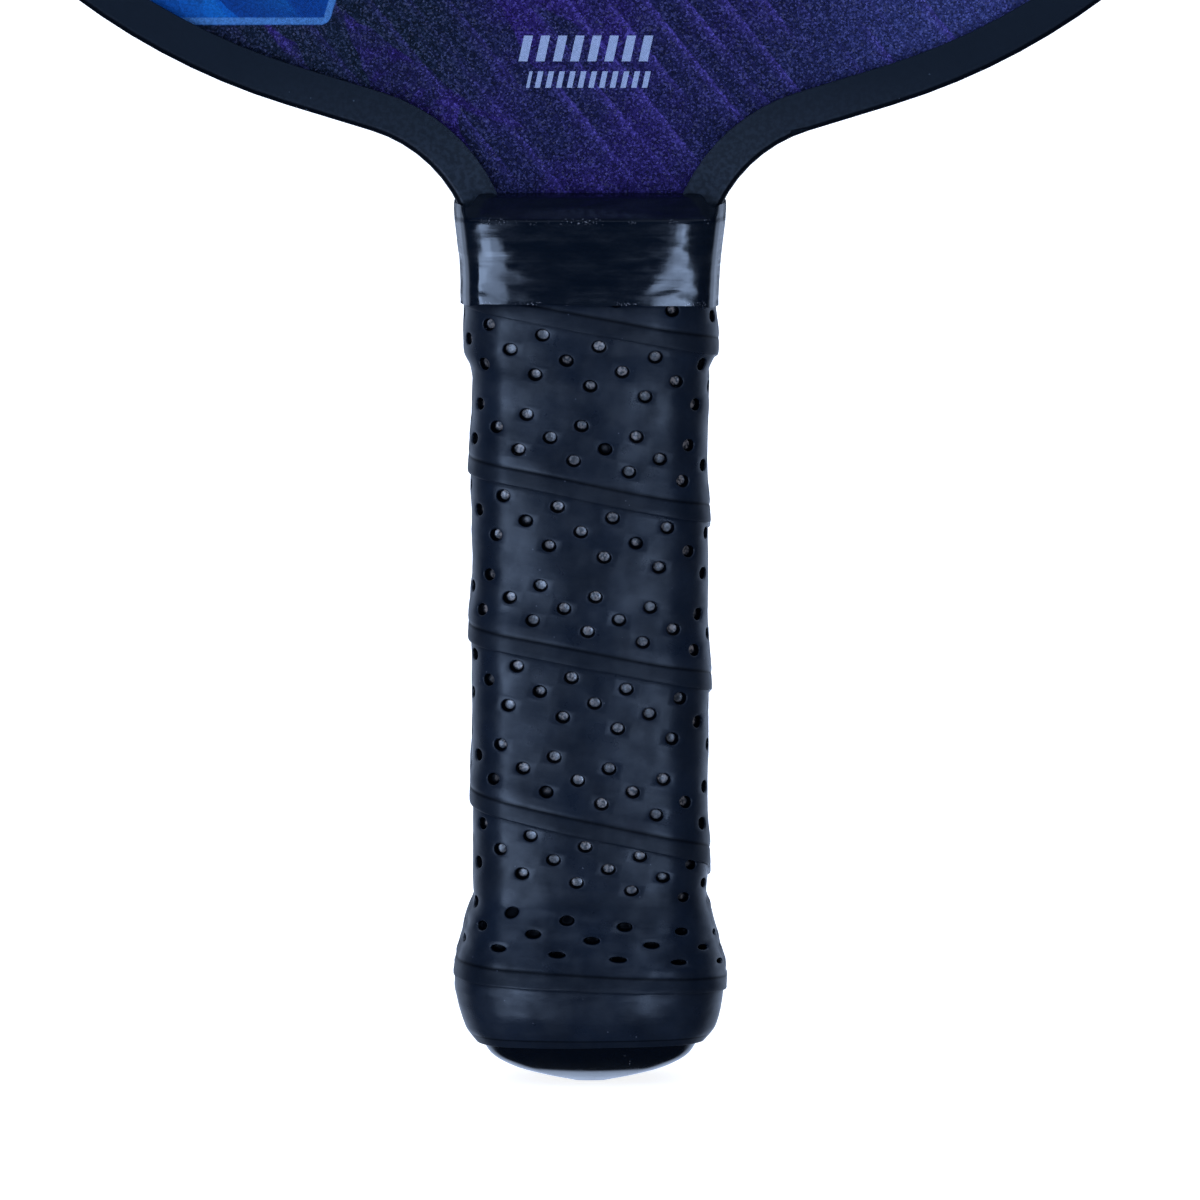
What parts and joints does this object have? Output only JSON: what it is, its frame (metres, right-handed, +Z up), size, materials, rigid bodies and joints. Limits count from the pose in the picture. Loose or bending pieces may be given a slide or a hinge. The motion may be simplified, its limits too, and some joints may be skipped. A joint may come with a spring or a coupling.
{
  "type": "pickleball paddle",
  "caption": "Flat wide-body pickleball paddle with a honeycomb-core face, moulded edge guard, perforated wrapped grip, finishing tape and flared butt cap.",
  "frame": {"origin": "lowest point of the butt cap, on the handle's axis, in the paddle's middle plane", "axes": "+Z up the handle towards the head, +X across the face, +Y from the front face to the back face"},
  "size_m": [0.202, 0.0336, 0.4],
  "materials": {
    "core": "matte",
    "scrim": "matte",
    "bonding_film": "satin",
    "face": "satin",
    "guard": "matte",
    "adhesive": "satin",
    "pallet": "matte",
    "cap": "gloss",
    "staple": "satin",
    "grip": "satin",
    "tape": "gloss"
  },
  "bodies": {
    "root": {"honeycomb_core": "core", "front_scrim": "scrim", "back_scrim": "scrim", "front_bonding_film": "bonding_film", "back_bonding_film": "bonding_film", "front_face_skin": "face", "back_face_skin": "face", "edge_guard": "guard", "edge_guard_tape": "adhesive", "grip_adhesive_strip": "adhesive", "front_pallet_tape": "adhesive", "back_pallet_tape": "adhesive", "front_pallet": "pallet", "back_pallet": "pallet", "butt_cap": "cap", "butt_cap_staples": "staple", "grip_wrap": "grip", "finishing_tape": "tape"}
  },
  "joints": []
}
